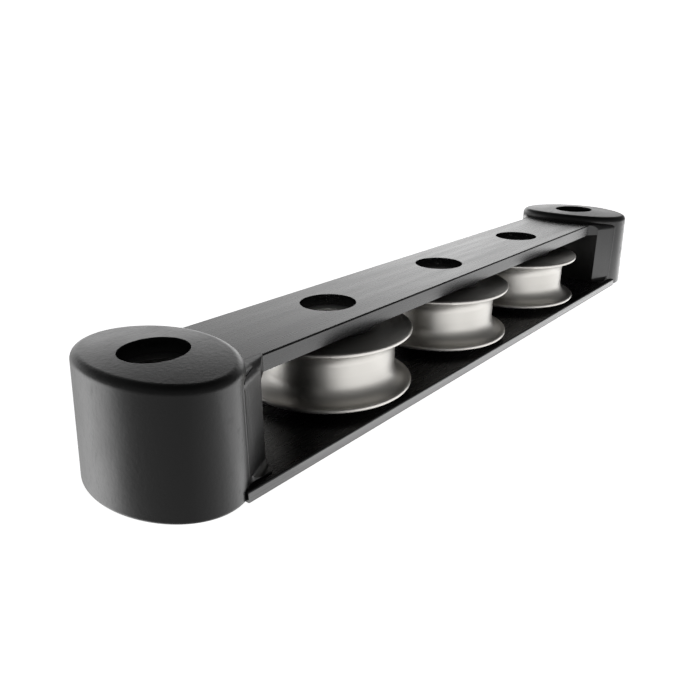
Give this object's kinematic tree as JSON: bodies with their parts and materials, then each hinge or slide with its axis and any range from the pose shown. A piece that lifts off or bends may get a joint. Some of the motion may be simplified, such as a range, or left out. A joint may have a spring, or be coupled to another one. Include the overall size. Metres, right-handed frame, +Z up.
{
  "type": "rope deck organizer",
  "caption": "Low deck fitting that leads ropes round free-spinning sheaves held between two flat plates, with a moulded bolt-down cap at each end.",
  "frame": {"origin": "centre of the underside, on the deck, midway between the two cap bolts", "axes": "+X along the row of sheaves from the near cap of the picture to the far one, +Y across the row away from the viewer, +Z up from the deck"},
  "size_m": [0.2484, 0.045, 0.0295],
  "materials": {
    "plate": "brushed, dark anodised",
    "end_cap": "satin moulded",
    "sheave": "turned satin",
    "bush": "plain bearing plastic",
    "washer": "plain bearing plastic",
    "axle": "turned",
    "sleeve": "turned"
  },
  "bodies": {
    "frame": {"lower_plate": "plate", "upper_plate": "plate", "end_cap_left": "end_cap", "end_cap_right": "end_cap", "cap_sleeve_left": "sleeve", "cap_sleeve_right": "sleeve", "axle_tube_1": "axle", "washer_lower_1": "washer", "washer_upper_1": "washer", "axle_tube_2": "axle", "washer_lower_2": "washer", "washer_upper_2": "washer", "axle_tube_3": "axle", "washer_lower_3": "washer", "washer_upper_3": "washer"},
    "sheave_unit_1": {"sheave_1": "sheave", "sheave_bush_1": "bush"},
    "sheave_unit_2": {"sheave_2": "sheave", "sheave_bush_2": "bush"},
    "sheave_unit_3": {"sheave_3": "sheave", "sheave_bush_3": "bush"}
  },
  "joints": [
    {"name": "sheave_spin_1", "type": "hinge", "parent": "frame", "child": "sheave_unit_1", "pos_m": [-0.054, 0, 0.01255], "axis": [0, 0, 1], "continuous": true},
    {"name": "sheave_spin_2", "type": "hinge", "parent": "frame", "child": "sheave_unit_2", "pos_m": [0, 0, 0.01255], "axis": [0, 0, 1], "continuous": true},
    {"name": "sheave_spin_3", "type": "hinge", "parent": "frame", "child": "sheave_unit_3", "pos_m": [0.054, 0, 0.01255], "axis": [0, 0, 1], "continuous": true}
  ]
}
